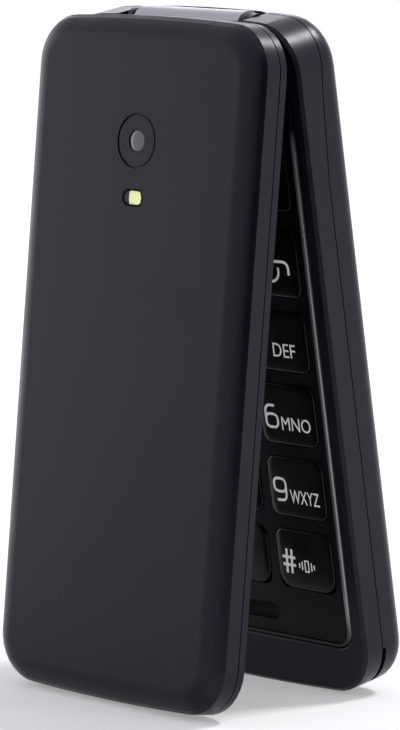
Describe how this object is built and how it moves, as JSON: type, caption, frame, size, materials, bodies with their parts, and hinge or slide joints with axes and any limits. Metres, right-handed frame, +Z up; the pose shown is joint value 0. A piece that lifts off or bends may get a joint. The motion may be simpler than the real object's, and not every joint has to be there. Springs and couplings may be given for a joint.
{
  "type": "flip phone",
  "caption": "Folding clamshell phone standing half open like a tent: plain lid with camera and flash, base with number keypad, navigation ring, battery cover and barrel hinge.",
  "frame": {"origin": "middle of the bounding box in X and Y, at the ground under the free ends", "axes": "+Z up, X along the hinge, the lid's outer face towards -Y, the back of the base towards +Y"},
  "size_m": [0.053, 0.044, 0.1103],
  "materials": {
    "shell": "soft-touch",
    "panel": "glossy",
    "panel_dark": "glossy",
    "inner_plastic": "matte",
    "key": "satin",
    "battery": "satin",
    "board": "satin",
    "steel": "satin",
    "gold": "satin",
    "silicone": "matte",
    "window": "polished",
    "lens": "clear",
    "phosphor": "satin"
  },
  "bodies": {
    "base": {"front_housing": "shell", "keypad_panel": "panel", "rear_housing": "inner_plastic", "main_board": "board", "dome_sheet": "steel", "keymat": "silicone", "shield_can": "steel", "microphone": "gold", "loudspeaker": "inner_plastic", "vibration_motor": "steel", "usb_connector": "steel", "headphone_jack": "inner_plastic", "sim_socket": "steel", "antenna": "gold", "base_screws": "steel", "hinge_sleeve": "steel", "flex_base": "gold"},
    "lid": {"lid_cover": "shell", "lid_bezel": "panel", "display_window": "window", "display_panel": "panel_dark", "lid_frame": "steel", "lid_board": "board", "camera_module": "inner_plastic", "camera_window": "window", "flash_led": "phosphor", "flash_lens": "lens", "earpiece": "inner_plastic", "earpiece_mesh": "steel", "magnet": "steel", "bumpers": "silicone", "lid_screws": "steel", "hinge_shaft": "steel", "hinge_bush": "steel", "flex_lid": "gold"},
    "cover": {"battery_cover": "shell"},
    "battery": {"battery": "battery"},
    "volume_key": {"volume_rocker": "key"},
    "body_key_1": {"key_1": "key"},
    "body_key_2": {"key_2": "key"},
    "body_key_3": {"key_3": "key"},
    "body_key_4": {"key_4": "key"},
    "body_key_5": {"key_5": "key"},
    "body_key_6": {"key_6": "key"},
    "body_key_7": {"key_7": "key"},
    "body_key_8": {"key_8": "key"},
    "body_key_9": {"key_9": "key"},
    "body_key_star": {"key_star": "key"},
    "body_key_0": {"key_0": "key"},
    "body_key_hash": {"key_hash": "key"},
    "body_key_call": {"key_call": "key"},
    "body_key_clear": {"key_clear": "key"},
    "body_key_end": {"key_end": "key"},
    "body_soft_left": {"soft_left": "key"},
    "body_soft_right": {"soft_right": "key"},
    "body_nav_up": {"nav_up": "key"},
    "body_nav_down": {"nav_down": "key"},
    "body_nav_left": {"nav_left": "key"},
    "body_nav_right": {"nav_right": "key"},
    "body_nav_ok": {"nav_ok": "key"}
  },
  "joints": [
    {"name": "lid_hinge", "type": "hinge", "parent": "base", "child": "lid", "pos_m": [0, -0.00162, 0.10744], "axis": [-1, 0, 0], "range_deg": [-15, 135]},
    {"name": "cover_lift", "type": "slide", "parent": "base", "child": "cover", "axis": [0, 0.9848, 0.1737], "range_m": [0, 0.03]},
    {"name": "battery_lift", "type": "slide", "parent": "base", "child": "battery", "axis": [0, 0.9848, 0.1737], "range_m": [0, 0.015]},
    {"name": "volume_rock", "type": "hinge", "parent": "base", "child": "volume_key", "pos_m": [-0.0243, 0.00481, 0.0639], "axis": [0, -0.9848, -0.1737], "range_deg": [-2, 2], "stiffness_Nm_per_rad": 0.26},
    {"name": "key_1_press", "type": "slide", "parent": "base", "child": "body_key_1", "axis": [0, 0.9848, 0.1737], "range_m": [0, 0.0003], "stiffness_N_per_m": 1500, "springref_m": -0.0002},
    {"name": "key_2_press", "type": "slide", "parent": "base", "child": "body_key_2", "axis": [0, 0.9848, 0.1737], "range_m": [0, 0.0003], "stiffness_N_per_m": 1500, "springref_m": -0.0002},
    {"name": "key_3_press", "type": "slide", "parent": "base", "child": "body_key_3", "axis": [0, 0.9848, 0.1737], "range_m": [0, 0.0003], "stiffness_N_per_m": 1500, "springref_m": -0.0002},
    {"name": "key_4_press", "type": "slide", "parent": "base", "child": "body_key_4", "axis": [0, 0.9848, 0.1737], "range_m": [0, 0.0003], "stiffness_N_per_m": 1500, "springref_m": -0.0002},
    {"name": "key_5_press", "type": "slide", "parent": "base", "child": "body_key_5", "axis": [0, 0.9848, 0.1737], "range_m": [0, 0.0003], "stiffness_N_per_m": 1500, "springref_m": -0.0002},
    {"name": "key_6_press", "type": "slide", "parent": "base", "child": "body_key_6", "axis": [0, 0.9848, 0.1737], "range_m": [0, 0.0003], "stiffness_N_per_m": 1500, "springref_m": -0.0002},
    {"name": "key_7_press", "type": "slide", "parent": "base", "child": "body_key_7", "axis": [0, 0.9848, 0.1737], "range_m": [0, 0.0003], "stiffness_N_per_m": 1500, "springref_m": -0.0002},
    {"name": "key_8_press", "type": "slide", "parent": "base", "child": "body_key_8", "axis": [0, 0.9848, 0.1737], "range_m": [0, 0.0003], "stiffness_N_per_m": 1500, "springref_m": -0.0002},
    {"name": "key_9_press", "type": "slide", "parent": "base", "child": "body_key_9", "axis": [0, 0.9848, 0.1737], "range_m": [0, 0.0003], "stiffness_N_per_m": 1500, "springref_m": -0.0002},
    {"name": "key_star_press", "type": "slide", "parent": "base", "child": "body_key_star", "axis": [0, 0.9848, 0.1737], "range_m": [0, 0.0003], "stiffness_N_per_m": 1500, "springref_m": -0.0002},
    {"name": "key_0_press", "type": "slide", "parent": "base", "child": "body_key_0", "axis": [0, 0.9848, 0.1737], "range_m": [0, 0.0003], "stiffness_N_per_m": 1500, "springref_m": -0.0002},
    {"name": "key_hash_press", "type": "slide", "parent": "base", "child": "body_key_hash", "axis": [0, 0.9848, 0.1737], "range_m": [0, 0.0003], "stiffness_N_per_m": 1500, "springref_m": -0.0002},
    {"name": "key_call_press", "type": "slide", "parent": "base", "child": "body_key_call", "axis": [0, 0.9848, 0.1737], "range_m": [0, 0.0003], "stiffness_N_per_m": 1500, "springref_m": -0.0002},
    {"name": "key_clear_press", "type": "slide", "parent": "base", "child": "body_key_clear", "axis": [0, 0.9848, 0.1737], "range_m": [0, 0.0003], "stiffness_N_per_m": 1500, "springref_m": -0.0002},
    {"name": "key_end_press", "type": "slide", "parent": "base", "child": "body_key_end", "axis": [0, 0.9848, 0.1737], "range_m": [0, 0.0003], "stiffness_N_per_m": 1500, "springref_m": -0.0002},
    {"name": "soft_left_press", "type": "slide", "parent": "base", "child": "body_soft_left", "axis": [0, 0.9848, 0.1737], "range_m": [0, 0.0003], "stiffness_N_per_m": 1500, "springref_m": -0.0002},
    {"name": "soft_right_press", "type": "slide", "parent": "base", "child": "body_soft_right", "axis": [0, 0.9848, 0.1737], "range_m": [0, 0.0003], "stiffness_N_per_m": 1500, "springref_m": -0.0002},
    {"name": "nav_up_press", "type": "slide", "parent": "base", "child": "body_nav_up", "axis": [0, 0.9848, 0.1737], "range_m": [0, 0.0003], "stiffness_N_per_m": 1500, "springref_m": -0.0002},
    {"name": "nav_down_press", "type": "slide", "parent": "base", "child": "body_nav_down", "axis": [0, 0.9848, 0.1737], "range_m": [0, 0.0003], "stiffness_N_per_m": 1500, "springref_m": -0.0002},
    {"name": "nav_left_press", "type": "slide", "parent": "base", "child": "body_nav_left", "axis": [0, 0.9848, 0.1737], "range_m": [0, 0.0003], "stiffness_N_per_m": 1500, "springref_m": -0.0002},
    {"name": "nav_right_press", "type": "slide", "parent": "base", "child": "body_nav_right", "axis": [0, 0.9848, 0.1737], "range_m": [0, 0.0003], "stiffness_N_per_m": 1500, "springref_m": -0.0002},
    {"name": "nav_ok_press", "type": "slide", "parent": "base", "child": "body_nav_ok", "axis": [0, 0.9848, 0.1737], "range_m": [0, 0.0003], "stiffness_N_per_m": 1500, "springref_m": -0.0002}
  ],
  "couplings": [
    {"joint": "battery_lift", "follows": "cover_lift", "ratio": 0.5}
  ]
}
